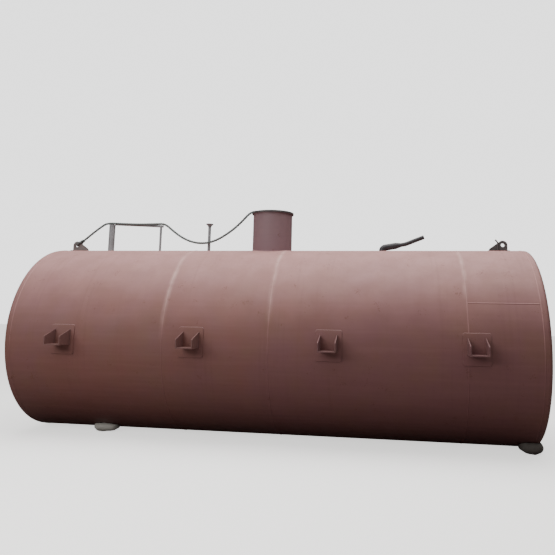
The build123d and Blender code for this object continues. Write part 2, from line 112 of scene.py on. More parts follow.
class Graph:
    """A node tree being built, with short ways to add and join nodes."""

    def __init__(self, tree: Tree) -> None:
        """Keep the tree that gets the nodes."""
        self.tree = tree

    def add(self, kind: str, feeds: Optional[dict] = None, **settings: object) -> bpy.types.Node:
        """Add one node.

        Args:
            kind: the node's type name.
            feeds: what goes into its inputs, by name or number.
            settings: properties to set on it first.

        Returns:
            The new node.
        """
        node = self.tree.nodes.new(kind)
        for name, value in settings.items():
            setattr(node, name, value)
        for key, value in (feeds or {}).items():
            self.feed(node.inputs[key], value)
        return node

    def feed(self, socket: Socket, value: Value) -> None:
        """Join a socket to another one, or give it a fixed value.

        Args:
            socket: the input to feed.
            value: an output socket or a plain value.
        """
        if isinstance(value, Socket):
            self.tree.links.new(value, socket)
        elif socket.type == "RGBA":
            socket.default_value = (*value, 1.0)
        else:
            socket.default_value = value

    def math(self, operation: str, first: Value, second: Value = 0.0) -> Socket:
        """Result of one sum with numbers."""
        return self.add("ShaderNodeMath", {0: first, 1: second}, operation=operation).outputs[0]

    def plus(self, first: Value, second: Value) -> Socket:
        """Sum of two numbers."""
        return self.math("ADD", first, second)

    def minus(self, first: Value, second: Value) -> Socket:
        """The first number less the second."""
        return self.math("SUBTRACT", first, second)

    def times(self, first: Value, second: Value) -> Socket:
        """Product of two numbers."""
        return self.math("MULTIPLY", first, second)

    def weighted(self, first: Value, second: Value, share: float) -> Socket:
        """Mean of two numbers in which the second has the given share."""
        return self.plus(self.times(first, 1.0 - share), self.times(second, share))

    def vector(self, operation: str, first: Value, second: Value = (0.0, 0.0, 0.0)) -> Socket:
        """Result of one sum with vectors."""
        return self.add("ShaderNodeVectorMath", {0: first, 1: second}, operation=operation).outputs[0]

    def split(self, vector: Value) -> Sequence[Socket]:
        """The X, Y and Z of a vector."""
        return self.add("ShaderNodeSeparateXYZ", {0: vector}).outputs

    def noise(self, vector: Value, scale: Value, detail: float = PLAIN) -> Socket:
        """Smooth noise from 0 to 1, its scale in bumps to a metre."""
        feeds = {"Vector": vector, "Scale": scale, "Detail": detail}
        return self.add("ShaderNodeTexNoise", feeds).outputs[0]

    def step(self, value: Value, low: Value, high: Value) -> Socket:
        """Mask that rises smoothly from 0 at low to 1 at high."""
        feeds = {"Value": value, "From Min": low, "From Max": high}
        return self.add("ShaderNodeMapRange", feeds, interpolation_type="SMOOTHSTEP").outputs[0]

    def blend(self, mask: Value, first: Value, second: Value, kind: Mix = Mix.COLOUR) -> Socket:
        """Mix two colours or vectors.

        Args:
            mask: 0 for the first, 1 for the second.
            first: the first colour or vector.
            second: the second one.
            kind: which of the two they are.

        Returns:
            The mixture.
        """
        data_type, ending = kind.value
        node = self.add("ShaderNodeMix", data_type=data_type)
        inputs = by_identifier(node.inputs)
        self.feed(inputs["Factor_Float"], mask)
        self.feed(inputs["A_" + ending], first)
        self.feed(inputs["B_" + ending], second)
        return by_identifier(node.outputs)["Result_" + ending]

    def tint(self, colour: Value, second: Value, mask: Value, share: float) -> Socket:
        """A colour with at most a share of a second one, where a mask says."""
        return self.blend(self.times(mask, share), colour, second)

    def group(self, tree: Tree, **values: Value) -> Socket:
        """Output of a shader group, fed by input name with underscores for spaces."""
        feeds = {name.replace("_", " "): value for name, value in values.items()}
        return self.add("ShaderNodeGroup", feeds, node_tree=tree).outputs[0]


class GroupGraph(Graph):
    """A shader group being built, which reads a place and some numbers and puts out one number."""

    def __init__(self, name: str, output: str, *numbers: str) -> None:
        """Start the group.

        Args:
            name: the group's name.
            output: its output's name.
            numbers: the names of its number inputs.
        """
        super().__init__(bpy.data.node_groups.new(name, "ShaderNodeTree"))
        kinds = {"Place": "NodeSocketVector", **dict.fromkeys(numbers, "NodeSocketFloat")}
        for socket, kind in kinds.items():
            self.tree.interface.new_socket(name=socket, in_out="INPUT", socket_type=kind)
        self.tree.interface.new_socket(name=output, in_out="OUTPUT", socket_type="NodeSocketFloat")
        self.place, *self.given, _ = self.add("NodeGroupInput").outputs

    def close(self, value: Value) -> Tree:
        """Put the value out and hand over the tree."""
        self.feed(self.add("NodeGroupOutput").inputs[0], value)
        return self.tree


class FinishGraph(Graph):
    """A material being built, with its Principled shader and object coordinates."""

    def __init__(self, name: str) -> None:
        """Start the material.

        Args:
            name: the material's name.
        """
        self.material = bpy.data.materials.new(name)
        self.material.use_nodes = True
        super().__init__(self.material.node_tree)
        self.shader = self.tree.nodes["Principled BSDF"]
        self.place = self.add("ShaderNodeTexCoord").outputs["Object"]

    def facing(self) -> Socket:
        """The mesh's own normal."""
        return self.add("ShaderNodeNewGeometry").outputs["Normal"]

    def surface(self, colour: Value, roughness: Value, height: Value, depth: float) -> bpy.types.Node:
        """Feed a finish to the shader.

        Args:
            colour: its colour.
            roughness: its roughness.
            height: its relief, about 0 to 1.
            depth: how far a height of 1 stands out.

        Returns:
            The Bump node.
        """
        self.feed(self.shader.inputs["Base Color"], colour)
        self.feed(self.shader.inputs["Roughness"], roughness)
        bump = self.add("ShaderNodeBump", {"Height": height, "Distance": depth})
        self.feed(self.shader.inputs["Normal"], bump.outputs["Normal"])
        return bump


@dataclass
class Effects:
    """Shader groups that more than one finish uses.

    A finer or coarser value is one noise's scale against the other's, a share is its part in
    their sum, and a range is where a mask starts to rise and where it is full.
    """

    blotch_finer: float = 6.0
    blotch_share: float = 0.3
    blotch_range: Pair = (0.36, 0.64)
    dust_and_sheen_scale: float = 3.0
    dust_and_sheen_raggedness: float = 0.3
    streak_stretch: Point = (1.0, 0.05, 0.045)
    streak_coarser: float = 0.2
    streak_range: Pair = (0.5, 0.7)
    streak_broad_range: Pair = (0.4, 0.62)
    rust_coarser: float = 0.12
    freckle_share: float = 0.4
    rust_edge: float = 0.72
    rust_reach: float = 0.3
    rust_softness: float = 0.06
    grain_coarser: float = 0.02
    grain_waves: float = 6.0
    band_scale: float = 2.2
    band_waver: float = 0.05
    wear_scale: float = 6.0
    wear_range: Pair = (0.2, 0.7)

    def __post_init__(self) -> None:
        """Build each group once."""
        self.blotches = self._blotches()
        self.dust_and_sheen = self._dust_and_sheen()
        self.streaks = self._streaks()
        self.rust = self._rust()
        self.grain = self._grain()
        self.band = self._band()

    def _blotches(self) -> Tree:
        """Large soft patches broken by smaller ones.

        Returns:
            The group.
        """
        graph = GroupGraph("blotches", "Mask", "Scale")
        scale = graph.given[0]
        large = graph.noise(graph.place, scale, BROKEN)
        small = graph.noise(graph.place, graph.times(scale, self.blotch_finer))
        return graph.close(graph.step(graph.weighted(large, small, self.blotch_share), *self.blotch_range))

    def _dust_and_sheen(self) -> Tree:
        """Dust and chalking on faces that look up, with a ragged edge; the finishes also use it for a
        painted sheen on top.

        Returns:
            The group.
        """
        graph = GroupGraph("dust_and_sheen_mask", "Mask", "Lift", "Low", "High")
        lift, low, high = graph.given
        ragged = graph.times(graph.noise(graph.place, self.dust_and_sheen_scale, RAGGED), self.dust_and_sheen_raggedness)
        level = graph.plus(lift, graph.minus(ragged, self.dust_and_sheen_raggedness * NOISE_MIDDLE))
        return graph.close(graph.step(level, low, high))

    def _streaks(self) -> Tree:
        """Rain runs down the plate: fine along the tank, long down its side.

        Returns:
            The group.
        """
        graph = GroupGraph("rain_streaks", "Mask", "Scale")
        scale = graph.given[0]
        drawn = graph.vector("MULTIPLY", graph.place, self.streak_stretch)
        fine = graph.step(graph.noise(drawn, scale, BROKEN), *self.streak_range)
        broad = graph.noise(drawn, graph.times(scale, self.streak_coarser), SOFT)
        return graph.close(graph.times(fine, graph.step(broad, *self.streak_broad_range)))

    def _rust(self) -> Tree:
        """Rust freckles that gather in patches.

        Returns:
            The group.
        """
        graph = GroupGraph("rust_freckles", "Mask", "Scale", "Spread")
        scale, spread = graph.given
        patches = graph.noise(graph.place, graph.times(scale, self.rust_coarser), BROKEN)
        freckles = graph.noise(graph.place, scale, FRECKLED)
        level = graph.weighted(patches, freckles, self.freckle_share)
        edge = graph.minus(self.rust_edge, graph.times(spread, self.rust_reach))
        return graph.close(graph.step(level, edge, graph.plus(edge, self.rust_softness)))

    def _grain(self) -> Tree:
        """Height of sprayed or rough surfaces.

        Returns:
            The group.
        """
        graph = GroupGraph("surface_grain", "Height", "Scale")
        scale = graph.given[0]
        fine = graph.noise(graph.place, scale, RAGGED)
        waves = graph.noise(graph.place, graph.times(scale, self.grain_coarser), SOFT)
        return graph.close(graph.plus(fine, graph.times(waves, self.grain_waves)))

    def _band(self) -> Tree:
        """A wavering band round the tank at one station, strong on top and gone below.

        Returns:
            The group.
        """
        graph = GroupGraph("seam_band", "Mask", "Station", "Half Width", "Low", "High")
        station, half_width, low, high = graph.given
        along, _, height = graph.split(graph.place)
        waver = graph.minus(graph.noise(graph.place, self.band_scale), NOISE_MIDDLE)
        moved = graph.plus(along, graph.times(waver, self.band_waver))
        off = graph.math("ABSOLUTE", graph.minus(moved, station))
        body = graph.times(graph.step(off, half_width, 0.0), graph.step(height, low, high))
        worn = graph.step(graph.noise(graph.place, self.wear_scale, RAGGED), *self.wear_range)
        return graph.close(graph.times(body, worn))


@dataclass(frozen=True)
class RedOxidePaint:
    """Red oxide primer, chalked and with a painted sheen on top, painted shade below, with pale bands at
    the seams.

    A seam is its station, its band's half width, and the heights where the band starts and is
    full. The crown blend is the distances from the axis where the true normal starts and is full.
    """

    name: str = "red_oxide_paint"
    fresh: Colour = (0.205, 0.082, 0.070)
    brown: Colour = (0.190, 0.096, 0.068)
    brown_scale: float = 0.55
    plum: Colour = (0.190, 0.082, 0.084)
    plum_scale: float = 0.9
    plum_stretch: Point = (0.6, 0.5, 0.5)
    # Chalk colour, also a painted sheen: the top is paler as if it caught the bright sky.
    chalk_and_sheen: Colour = (0.520, 0.282, 0.262)
    chalk_and_sheen_low: float = 0.02
    chalk_and_sheen_high: float = 1.30
    mottle_scale: float = 4.0
    mottle_share: float = 0.16
    # Soil colour for the rain runs, also used to paint shade on the underside.
    soil: Colour = (0.090, 0.030, 0.026)
    underside_shade_range: Pair = (-0.25, -1.0)
    underside_shade_share: float = 0.7
    run_scale: float = 20.0
    run_share: float = 0.08
    rolled_stretch: Point = (0.35, 7.0, 7.0)
    rolled_scale: float = 3.0
    rolled_range: Pair = (0.35, 0.75)
    rolled_share: float = 0.035
    band: Colour = (0.600, 0.385, 0.352)
    band_share: float = 0.72
    seams: tuple = ((-1.215, 0.050, 1.1, 2.2), (0.112, 0.046, 1.2, 2.4), (2.432, 0.042, 1.6, 2.3))
    rust: Colour = (0.110, 0.040, 0.020)
    rust_scale: float = 60.0
    rust_spread: float = 0.36
    rust_share: float = 0.3
    specular: float = 0.35
    roughness: float = 0.52
    mottle_dull: float = 0.12
    rust_dull: float = 0.2
    grain_scale: float = 180.0
    grain_depth: float = 0.0006
    crowned: bool = False
    crown_blend: Pair = (0.40, 0.20)

    def build(self, effects: Effects) -> Finish:
        """Make the material.

        Args:
            effects: the shared shader groups.

        Returns:
            The material.
        """
        graph = FinishGraph(self.name)
        place, facing = graph.place, graph.facing()
        level = graph.minus(graph.split(place)[2], AXIS_HEIGHT)
        share = graph.math("DIVIDE", level, SHELL_RADIUS)
        lift = graph.math("MINIMUM", graph.split(facing)[2], share)
        patches = graph.group(effects.blotches, Place=place, Scale=self.brown_scale)
        colour = graph.blend(patches, self.fresh, self.brown)
        shifted = graph.vector("MULTIPLY", place, self.plum_stretch)
        patches = graph.group(effects.blotches, Place=shifted, Scale=self.plum_scale)
        colour = graph.blend(patches, colour, self.plum)
        # Paler on top: partly chalking, partly a painted sheen from the sky above.
        chalk_and_sheen_mask = graph.group(
            effects.dust_and_sheen, Place=place, Lift=lift, Low=self.chalk_and_sheen_low, High=self.chalk_and_sheen_high
        )
        colour = graph.blend(chalk_and_sheen_mask, colour, self.chalk_and_sheen)
        mottle = graph.group(effects.blotches, Place=place, Scale=self.mottle_scale)
        colour = graph.tint(colour, self.brown, mottle, self.mottle_share)
        # Painted shade: darker towards the bottom and on faces that look down.
        colour = graph.tint(colour, self.soil, graph.step(lift, *self.underside_shade_range), self.underside_shade_share)
        runs = graph.group(effects.streaks, Place=place, Scale=self.run_scale)
        colour = graph.tint(colour, self.soil, runs, self.run_share)
        drawn = graph.vector("MULTIPLY", place, self.rolled_stretch)
        rolled = graph.step(graph.noise(drawn, self.rolled_scale, BROKEN), *self.rolled_range)
        colour = graph.tint(colour, self.chalk_and_sheen, rolled, self.rolled_share)
        for station, half_width, low, high in self.seams:
            mask = graph.group(
                effects.band, Place=place, Station=station, Half_Width=half_width, Low=low, High=high
            )
            colour = graph.tint(colour, self.band, mask, self.band_share)
        rusty = graph.group(effects.rust, Place=place, Scale=self.rust_scale, Spread=self.rust_spread)
        colour = graph.tint(colour, self.rust, rusty, self.rust_share)
        graph.feed(graph.shader.inputs["Specular IOR Level"], self.specular)
        dull = graph.plus(self.roughness, graph.times(mottle, self.mottle_dull))
        dull = graph.plus(dull, graph.times(rusty, self.rust_dull))
        grain = graph.group(effects.grain, Place=place, Scale=self.grain_scale)
        bump = graph.surface(colour, dull, grain, self.grain_depth)
        if self.crowned:
            graph.feed(bump.inputs["Normal"], self._crown_normal(graph, facing))
        return graph.material

    def _crown_normal(self, graph: FinishGraph, facing: Socket) -> Socket:
        """True normal of a dished end near its middle, where a fan of triangles shades unevenly.

        Args:
            graph: the material's graph.
            facing: the mesh's own normal.

        Returns:
            The normal.
        """
        along, across, height = graph.split(graph.place)
        middle = graph.times(graph.math("SIGN", along), CROWN_CENTRE)
        centre = graph.add("ShaderNodeCombineXYZ", {"X": middle, "Z": AXIS_HEIGHT}).outputs[0]
        outward = graph.vector("NORMALIZE", graph.vector("SUBTRACT", graph.place, centre))
        up = graph.minus(height, AXIS_HEIGHT)
        square = graph.plus(graph.times(across, across), graph.times(up, up))
        mask = graph.step(graph.math("SQRT", square), *self.crown_blend)
        return graph.blend(mask, facing, outward, Mix.VECTOR)


@dataclass(frozen=True)
class WornSteel:
    """Painted or bare steel fittings, with rust in patches and dust on top, which on the fillet welds is
    also a painted highlight.
    """

    name: str
    base: Colour
    worn: Colour
    rust: Colour = (0.120, 0.045, 0.020)
    dust_and_highlight: Colour = (0.240, 0.205, 0.185)
    worn_scale: float = 7.0
    rust_scale: float = 90.0
    rust_spread: float = 0.6
    rust_dull: float = 0.3
    dust_and_highlight_low: float = 0.2
    dust_and_highlight_high: float = 1.1
    dust_and_highlight_share: float = 0.35
    roughness: float = 0.55
    grain_scale: float = 260.0
    grain_depth: float = 0.0006

    def build(self, effects: Effects) -> Finish:
        """Make the material.

        Args:
            effects: the shared shader groups.

        Returns:
            The material.
        """
        graph = FinishGraph(self.name)
        place = graph.place
        lift = graph.split(graph.facing())[2]
        patches = graph.group(effects.blotches, Place=place, Scale=self.worn_scale)
        colour = graph.blend(patches, self.base, self.worn)
        rusty = graph.group(effects.rust, Place=place, Scale=self.rust_scale, Spread=self.rust_spread)
        colour = graph.blend(rusty, colour, self.rust)
        # Paler on top: dust, and on the fillet welds a painted highlight.
        dust_and_highlight_mask = graph.group(effects.dust_and_sheen, Place=place, Lift=lift, Low=self.dust_and_highlight_low, High=self.dust_and_highlight_high)
        colour = graph.tint(colour, self.dust_and_highlight, dust_and_highlight_mask, self.dust_and_highlight_share)
        dull = graph.plus(self.roughness, graph.times(rusty, self.rust_dull))
        grain = graph.group(effects.grain, Place=place, Scale=self.grain_scale)
        graph.surface(colour, dull, grain, self.grain_depth)
        return graph.material


@dataclass(frozen=True)
class RopeFibre:
    """Weathered grey-green rope: yarns wound along each strand, painted shade in the hollows between them,
    and dirt in patches.
    """

    name: str = "rope_fibre"
    yarn: Colour = (0.165, 0.190, 0.184)
    shade: Colour = (0.100, 0.116, 0.112)
    dirt: Colour = (0.105, 0.107, 0.098)
    dirt_scale: float = 9.0
    dirt_share: float = 0.5
    yarns: float = 9.0
    yarn_depth: float = 0.0012
    fuzz_scale: float = 900.0
    fuzz_height: float = 0.4
    roughness: float = 0.85

    def build(self, effects: Effects) -> Finish:
        """Make the material.

        Args:
            effects: the shared shader groups.

        Returns:
            The material.
        """
        graph = FinishGraph(self.name)
        around, along, _ = graph.split(graph.add("ShaderNodeUVMap", uv_map="strand").outputs["UV"])
        turn = graph.plus(graph.times(around, self.yarns), along)
        wave = graph.math("ABSOLUTE", graph.math("SINE", graph.times(turn, math.pi)))
        # Painted shade: darker in the grooves between the yarns.
        colour = graph.blend(wave, self.shade, self.yarn)
        dirty = graph.group(effects.blotches, Place=graph.place, Scale=self.dirt_scale)
        colour = graph.tint(colour, self.dirt, dirty, self.dirt_share)
        fuzz = graph.times(graph.noise(graph.place, self.fuzz_scale, SOFT), self.fuzz_height)
        graph.surface(colour, self.roughness, graph.plus(wave, fuzz), self.yarn_depth)
        return graph.material


@dataclass(frozen=True)
class Stone:
    """Weathered stone with speckles, soil near the ground and a rough face.

    Known fault: a stone's name is also a slot's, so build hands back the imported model's plain
    material of that name. This finish isn't seen until the stones have names of their own.
    """

    name: str
    light: Colour
    dark: Colour
    speckle: Colour
    soil: Colour = (0.075, 0.060, 0.046)
    dark_scale: float = 6.0
    speckle_scale: float = 140.0
    speckle_range: Pair = (0.56, 0.66)
    speckle_share: float = 0.55
    speckle_height: float = 0.15
    soil_height: float = 0.07
    soil_fade: float = 0.3
    soil_scale: float = 18.0
    soil_raggedness: float = 0.06
    face_scale: float = 60.0
    face_depth: float = 0.012
    roughness: float = 0.9

    def build(self, effects: Effects) -> Finish:
        """Make the material.

        Args:
            effects: the shared shader groups.

        Returns:
            The material.
        """
        graph = FinishGraph(self.name)
        place = graph.place
        patches = graph.group(effects.blotches, Place=place, Scale=self.dark_scale)
        colour = graph.blend(patches, self.light, self.dark)
        specks = graph.step(graph.noise(place, self.speckle_scale), *self.speckle_range)
        colour = graph.tint(colour, self.speckle, specks, self.speckle_share)
        ragged = graph.times(graph.noise(place, self.soil_scale, BROKEN), self.soil_raggedness)
        height = graph.plus(graph.split(place)[2], ragged)
        soiled = graph.step(height, self.soil_height, self.soil_height * self.soil_fade)
        colour = graph.blend(soiled, colour, self.soil)
        face = graph.noise(place, self.face_scale, CRAGGY)
        relief = graph.plus(face, graph.times(specks, self.speckle_height))
        graph.surface(colour, self.roughness, relief, self.face_depth)
        return bpy.data.materials[self.name]


class Finishes:
    """Every finish on the tank."""

    def __init__(self) -> None:
        """Build the finishes."""
        effects = Effects()
        self.paint = RedOxidePaint().build(effects)
        self.end_paint = RedOxidePaint("end_paint", crowned=True).build(effects)
        self.neck = RedOxidePaint(
            "neck_paint", fresh=(0.205, 0.124, 0.133), brown=(0.188, 0.118, 0.120),
            plum=(0.196, 0.116, 0.132), band_share=0.0,
        ).build(effects)
        self.weld = RedOxidePaint(
            "painted_weld", brown=(0.225, 0.110, 0.092), chalk_and_sheen_low=-0.25, chalk_and_sheen_high=1.05,
            rust_share=0.5,
        ).build(effects)
        # A darker copy of the shell's paint for the brackets: painted shade, since the brackets are the
        # same red oxide.
        self.bracket = RedOxidePaint(
            "bracket_paint_painted_shade", fresh=(0.160, 0.072, 0.066), brown=(0.142, 0.074, 0.060),
            plum=(0.150, 0.070, 0.072), band_share=0.0, rust_share=0.5,
        ).build(effects)
        # Fillet welds: pale on top as a painted highlight, where the pads' top edges catch the light.
        self.fillet = WornSteel(
            "fillet_weld", base=(0.190, 0.084, 0.074), worn=(0.160, 0.070, 0.062),
            rust=(0.110, 0.045, 0.030), dust_and_highlight=(0.520, 0.345, 0.325), rust_spread=0.4, dust_and_highlight_share=0.75,
        ).build(effects)
        self.lug = WornSteel(
            "lug_steel", base=(0.150, 0.122, 0.116), worn=(0.110, 0.088, 0.084),
            rust=(0.105, 0.062, 0.045), rust_spread=0.5, dust_and_highlight_share=0.4,
        ).build(effects)
        self.fitting = WornSteel(
            "dark_steel", base=(0.050, 0.046, 0.047), worn=(0.080, 0.070, 0.068),
            rust=(0.075, 0.042, 0.030), rust_spread=0.5, dust_and_highlight_share=0.15,
        ).build(effects)
        self.grey_pipe = WornSteel(
            "grey_galvanised", base=(0.250, 0.255, 0.262), worn=(0.180, 0.180, 0.185),
            rust=(0.150, 0.105, 0.080), rust_spread=0.3, dust_and_highlight_share=0.25, roughness=0.5,
        ).build(effects)
        self.black_pipe = WornSteel(
            "black_pipe_paint", base=(0.022, 0.021, 0.025), worn=(0.036, 0.033, 0.036),
            rust=(0.050, 0.035, 0.030), rust_spread=0.3, dust_and_highlight_share=0.2, roughness=0.5,
        ).build(effects)
        self.rope = RopeFibre().build(effects)
        self.pale_stone = Stone(
            "pale_stone", light=(0.760, 0.735, 0.680), dark=(0.580, 0.555, 0.505),
            speckle=(0.800, 0.780, 0.730), soil_height=0.030,
        ).build(effects)
        self.dark_stone = Stone(
            "dark_stone", light=(0.020, 0.015, 0.015), dark=(0.010, 0.008, 0.008),
            speckle=(0.050, 0.044, 0.045), soil=(0.024, 0.018, 0.015),
        ).build(effects)


def link_object(name: str, data: bpy.types.ID) -> Piece:
    """Put a mesh, curve, light or camera in the scene, at the origin.

    Args:
        name: the object's name.
        data: what it shows.

    Returns:
        The object.
    """
    made = bpy.data.objects.new(name, data)
    bpy.context.scene.collection.objects.link(made)
    return made


def link_mesh(name: str, points: Sequence, faces: list, finish: Finish) -> Piece:
    """Make a smoothly shaded mesh object at the origin.

    Args:
        name: the piece's name.
        points: its corners.
        faces: its faces as corner numbers.
        finish: its finish.

    Returns:
        The object.
    """
    mesh = bpy.data.meshes.new(name)
    mesh.from_pydata([tuple(point) for point in points], [], faces)
    mesh.materials.append(finish)
    mesh.shade_smooth()
    return link_object(name, mesh)


def final_mesh(source: Piece) -> bpy.types.Mesh:
    """The mesh that an object's curve or modifiers give."""
    bpy.context.view_layer.update()
    return bpy.data.meshes.new_from_object(source.evaluated_get(bpy.context.evaluated_depsgraph_get()))


def seat_piece(piece: Piece) -> Piece:
    """Fix a finished piece to the tank and report it.

    Args:
        piece: the piece.

    Returns:
        The piece.
    """
    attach(piece, BODY)
    LOG.info("%s: %d faces", piece.name, len(piece.data.polygons))
    return piece


@dataclass
class PhotoCamera:
    """Camera at the photograph's place, angle and framing."""

    place: Point = (1.583, -8.050, 1.576)
    yaw: float = -8.846
    pitch: float = 8.047
    roll: float = 1.051
    picture_width: float = 555.0
    focal_pixels: float = 575.7
    centre_pixel: Pair = (303.77, 235.71)
    sensor: float = 36.0
    clip_end: float = 200.0

    def build(self) -> Piece:
        """Make the camera and use it.

        Returns:
            The camera.
        """
        yaw, pitch, roll = (math.radians(angle) for angle in (self.yaw, self.pitch, self.roll))
        level_out = math.cos(pitch)
        ahead = Vector((math.sin(yaw) * level_out, math.cos(yaw) * level_out, math.sin(pitch)))
        level = Vector((math.cos(yaw), -math.sin(yaw), 0.0))
        upward = level.cross(ahead)
        right = level * math.cos(roll) + upward * math.sin(roll)
        up = upward * math.cos(roll) - level * math.sin(roll)
        data = bpy.data.cameras.new("photo_camera")
        data.sensor_width = self.sensor
        data.lens = self.focal_pixels * self.sensor / self.picture_width
        half = self.picture_width / 2
        data.shift_x = (half - self.centre_pixel[0]) / self.picture_width
        data.shift_y = (self.centre_pixel[1] - half) / self.picture_width
        data.clip_end = self.clip_end
        camera = link_object("photo_camera", data)
        turn = Matrix((right, up, -ahead)).transposed().to_4x4()
        camera.matrix_world = Matrix.Translation(self.place) @ turn
        bpy.context.scene.camera = camera
        return camera


@dataclass(frozen=True)
class SoftLight:
    """A rectangular area light."""

    name: str
    place: Point
    aim: Point
    size: Pair
    watts: float

    def build(self) -> None:
        """Make the light and turn it to its aim."""
        data = bpy.data.lights.new(self.name, "AREA")
        data.shape = "RECTANGLE"
        data.size, data.size_y = self.size
        data.energy = self.watts
        turn = (Vector(self.aim) - Vector(self.place)).to_track_quat("-Z", "Y")
        light = link_object(self.name, data)
        light.matrix_world = Matrix.Translation(self.place) @ turn.to_matrix().to_4x4()


@dataclass(frozen=True)
class Studio:
    """Pale floor, soft light from above and in front, and a pale surround."""

    floor_half: float = 60.0
    floor_seen: Colour = (0.84, 0.83, 0.81)
    floor_bounce: Colour = (0.26, 0.22, 0.21)
    floor_glow: Colour = (1.10, 1.09, 1.07)
    floor_roughness: float = 0.95
    surround_seen: Colour = (4.0, 4.0, 4.0)
    sky_below: Colour = (0.10, 0.10, 0.11)
    sky_above: Colour = (1.0, 1.0, 1.0)
    sky_range: Pair = (-0.1, 0.8)
    sky_strength: float = 0.55
    lights: tuple = (
        SoftLight("overhead_light", (0.4, -1.2, 8.2), (0.0, -0.1, 1.2), (11.0, 7.0), 800.0),
        SoftLight("front_light", (-4.5, -8.5, 4.2), (0.0, 0.0, 1.2), (7.0, 2.4), 290.0),
    )

    def build(self) -> None:
        """Make the floor, the lights and the surround."""
        self._floor()
        for light in self.lights:
            light.build()
        self._surround()

    def _floor(self) -> None:
        """Make the floor, pale to the eye and dim as a reflector."""
        half = self.floor_half
        square = [(-half, -half, 0.0), (half, -half, 0.0), (half, half, 0.0), (-half, half, 0.0)]
        graph = FinishGraph("studio_floor")
        seen = graph.add("ShaderNodeLightPath").outputs["Is Camera Ray"]
        inputs = graph.shader.inputs
        graph.feed(inputs["Roughness"], self.floor_roughness)
        graph.feed(inputs["Base Color"], graph.blend(seen, self.floor_bounce, self.floor_seen))
        graph.feed(inputs["Emission Color"], graph.blend(seen, (0.0, 0.0, 0.0), self.floor_glow))
        graph.feed(inputs["Emission Strength"], 1.0)
        floor = link_mesh("studio_floor", square, [(0, 1, 2, 3)], graph.material)

    def _surround(self) -> None:
        """Make a pale surround that lights from above more than from the sides."""
        world = bpy.data.worlds.new("studio_surround")
        world.use_nodes = True
        bpy.context.scene.world = world
        graph = Graph(world.node_tree)
        inputs = world.node_tree.nodes["Background"].inputs
        height = graph.split(graph.add("ShaderNodeTexCoord").outputs["Generated"])[2]
        light = graph.blend(graph.step(height, *self.sky_range), self.sky_below, self.sky_above)
        seen = graph.add("ShaderNodeLightPath").outputs["Is Camera Ray"]
        graph.feed(inputs["Color"], graph.blend(seen, light, self.surround_seen))
        graph.feed(inputs["Strength"], self.sky_strength)


def tangents(path: np.ndarray, closed: bool) -> np.ndarray:
    """Unit directions along a path.

    Args:
        path: points along it.
        closed: whether its end meets its start.

    Returns:
        The direction at each point.
    """
    ahead = np.gradient(path, axis=0)
    if closed:
        ahead = np.roll(path, -1, axis=0) - np.roll(path, 1, axis=0)
    return ahead / np.linalg.norm(ahead, axis=1)[:, None]


def side_directions(path: np.ndarray, closed: bool) -> tuple[np.ndarray, np.ndarray]:
    """Carry a pair of side directions along a path without twist.

    Args:
        path: points along the path.
        closed: whether its end meets its start.

    Returns:
        Two sideways directions at each point.
    """
    ahead = tangents(path, closed)
    side = np.cross(ahead[0], (0.0, 1.0, 0.0))
    if np.linalg.norm(side) < 0.1:
        side = np.cross(ahead[0], (0.0, 0.0, 1.0))
    sides = []
    for direction in ahead:
        side = side - direction * side.dot(direction)
        side = side / np.linalg.norm(side)
        sides.append(side)
    return np.array(sides), np.cross(ahead, np.array(sides))


@dataclass
class LaidRope:
    """Three strands laid round each other."""

    diameter: float = 0.034
    strands: int = 3
    strand_share: float = 0.56
    lay: float = 0.105
    sides: int = 12
    yarn_turns: float = 34.0

    def tubes(self, path: np.ndarray, closed: bool = False) -> Swept:
        """Sweep the strands along a path.

        Args:
            path: points along the rope's middle.
            closed: whether the rope is a ring.

        Returns:
            Corners, faces and the strands' UV for each face corner.
        """
        strand = self.diameter / 2 * self.strand_share
        first, second = side_directions(path, closed)
        steps = np.linalg.norm(np.diff(path, axis=0, append=path[:1]), axis=1)
        run = np.concatenate(([0.0], np.cumsum(steps)))
        lay = run[-1] / max(1, round(run[-1] / self.lay)) if closed else self.lay
        turns = FULL_TURN * np.arange(self.sides) / self.sides
        points, faces, uvs = [], [], []
        for number in range(self.strands):
            angle = FULL_TURN * (run[:-1] / lay + number / self.strands)
            outward = first * np.cos(angle)[:, None] + second * np.sin(angle)[:, None]
            middle = path + outward * (self.diameter / 2 - strand)
            along = tangents(middle, closed)
            outward = outward - along * np.sum(outward * along, axis=1)[:, None]
            outward /= np.linalg.norm(outward, axis=1)[:, None]
            across = np.cross(along, outward)
            rays = outward[:, None] * np.cos(turns)[:, None] + across[:, None] * np.sin(turns)[:, None]
            base = len(points)
            points.extend((middle[:, None] + rays * strand).reshape(-1, 3))
            for place in range(len(path) if closed else len(path) - 1):
                near = base + place * self.sides
                far = base + (place + 1) % len(path) * self.sides
                low = run[place] * self.yarn_turns
                high = low + steps[place] * self.yarn_turns
                for side in range(self.sides):
                    beside = (side + 1) % self.sides
                    faces.append((near + side, near + beside, far + beside, far + side))
                    left, right = side / self.sides, (side + 1) / self.sides
                    uvs.extend([(left, low), (right, low), (right, high), (left, high)])
            if not closed:
                last = len(points) - self.sides
                faces.append(tuple(base + side for side in reversed(range(self.sides))))
                faces.append(tuple(last + side for side in range(self.sides)))
                uvs.extend([(0.0, 0.0)] * (2 * self.sides))
        return points, faces, uvs


def rope_piece(name: str, parts: list[Swept], finish: Finish) -> Piece:
    """Join swept strands into one piece with their UV map.

    Args:
        name: the piece's name.
        parts: corners, faces and UV of each length.
        finish: its finish.

    Returns:
        The piece.
    """
    points, faces, uvs = [], [], []
    for part_points, part_faces, part_uvs in parts:
        base = len(points)
        points.extend(part_points)
        faces.extend(tuple(base + corner for corner in face) for face in part_faces)
        uvs.extend(part_uvs)
    piece = link_mesh(name, points, faces, finish)
    layer = piece.data.uv_layers.new(name="strand")
    layer.data.foreach_set("uv", np.array(uvs, np.float32).ravel())
    return piece


